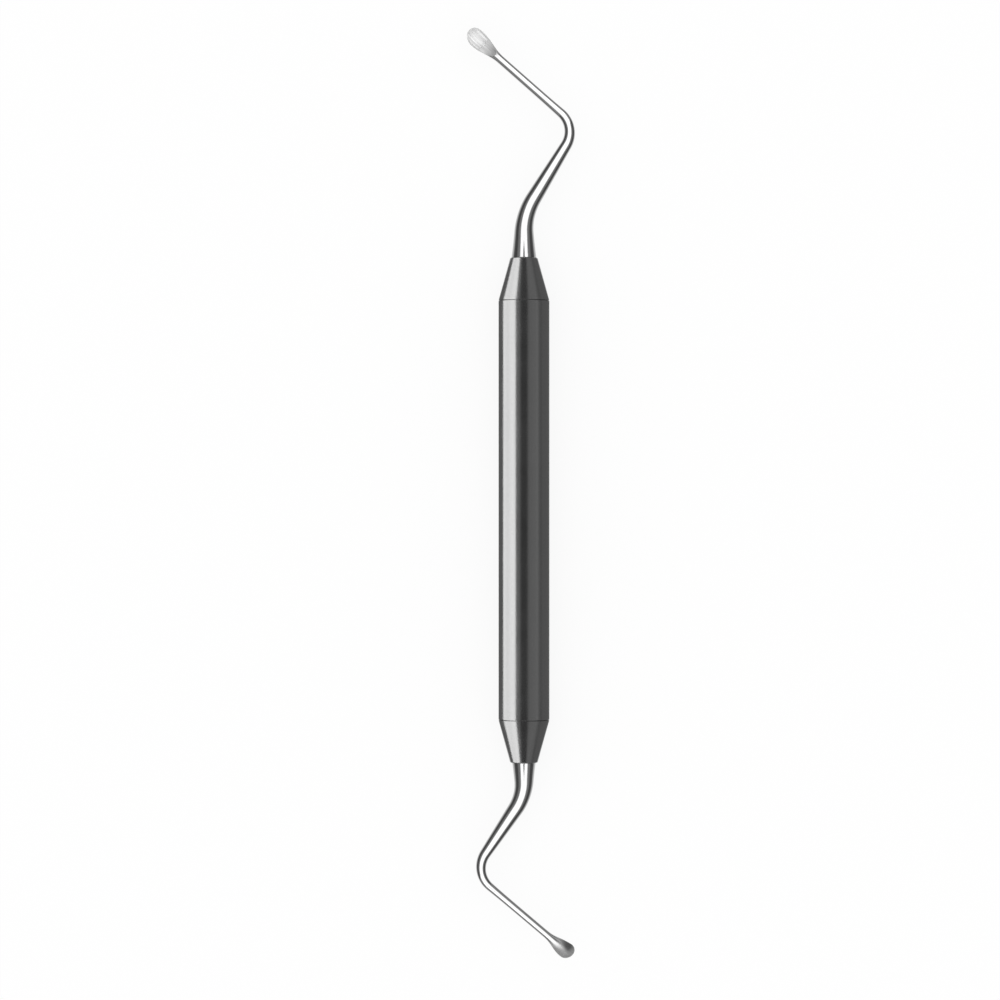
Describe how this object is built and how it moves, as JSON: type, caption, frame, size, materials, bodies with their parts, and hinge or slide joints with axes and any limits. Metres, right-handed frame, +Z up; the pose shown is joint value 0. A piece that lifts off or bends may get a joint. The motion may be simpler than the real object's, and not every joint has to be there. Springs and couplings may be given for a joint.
{
  "type": "bone curette",
  "caption": "Slim double-ended hand instrument: a cupped bowl on a double-bent tapered shank at each end of a straight hollow handle, for scraping bone.",
  "frame": {"origin": "under the middle of the handle's length, on the surface that the instrument lies on", "axes": "+Y along the handle towards the larger working end, +Z up from the surface, the way the larger end's cup faces, +X to the side of that end's first bend"},
  "size_m": [0.0201, 0.1733, 0.0095],
  "materials": {
    "satin_steel": "satin",
    "polished_steel": "polished"
  },
  "bodies": {
    "root": {"handle_tube": "satin_steel", "upper_end_cone": "satin_steel", "lower_end_cone": "satin_steel", "upper_working_end": "polished_steel", "lower_working_end": "polished_steel"}
  },
  "joints": []
}
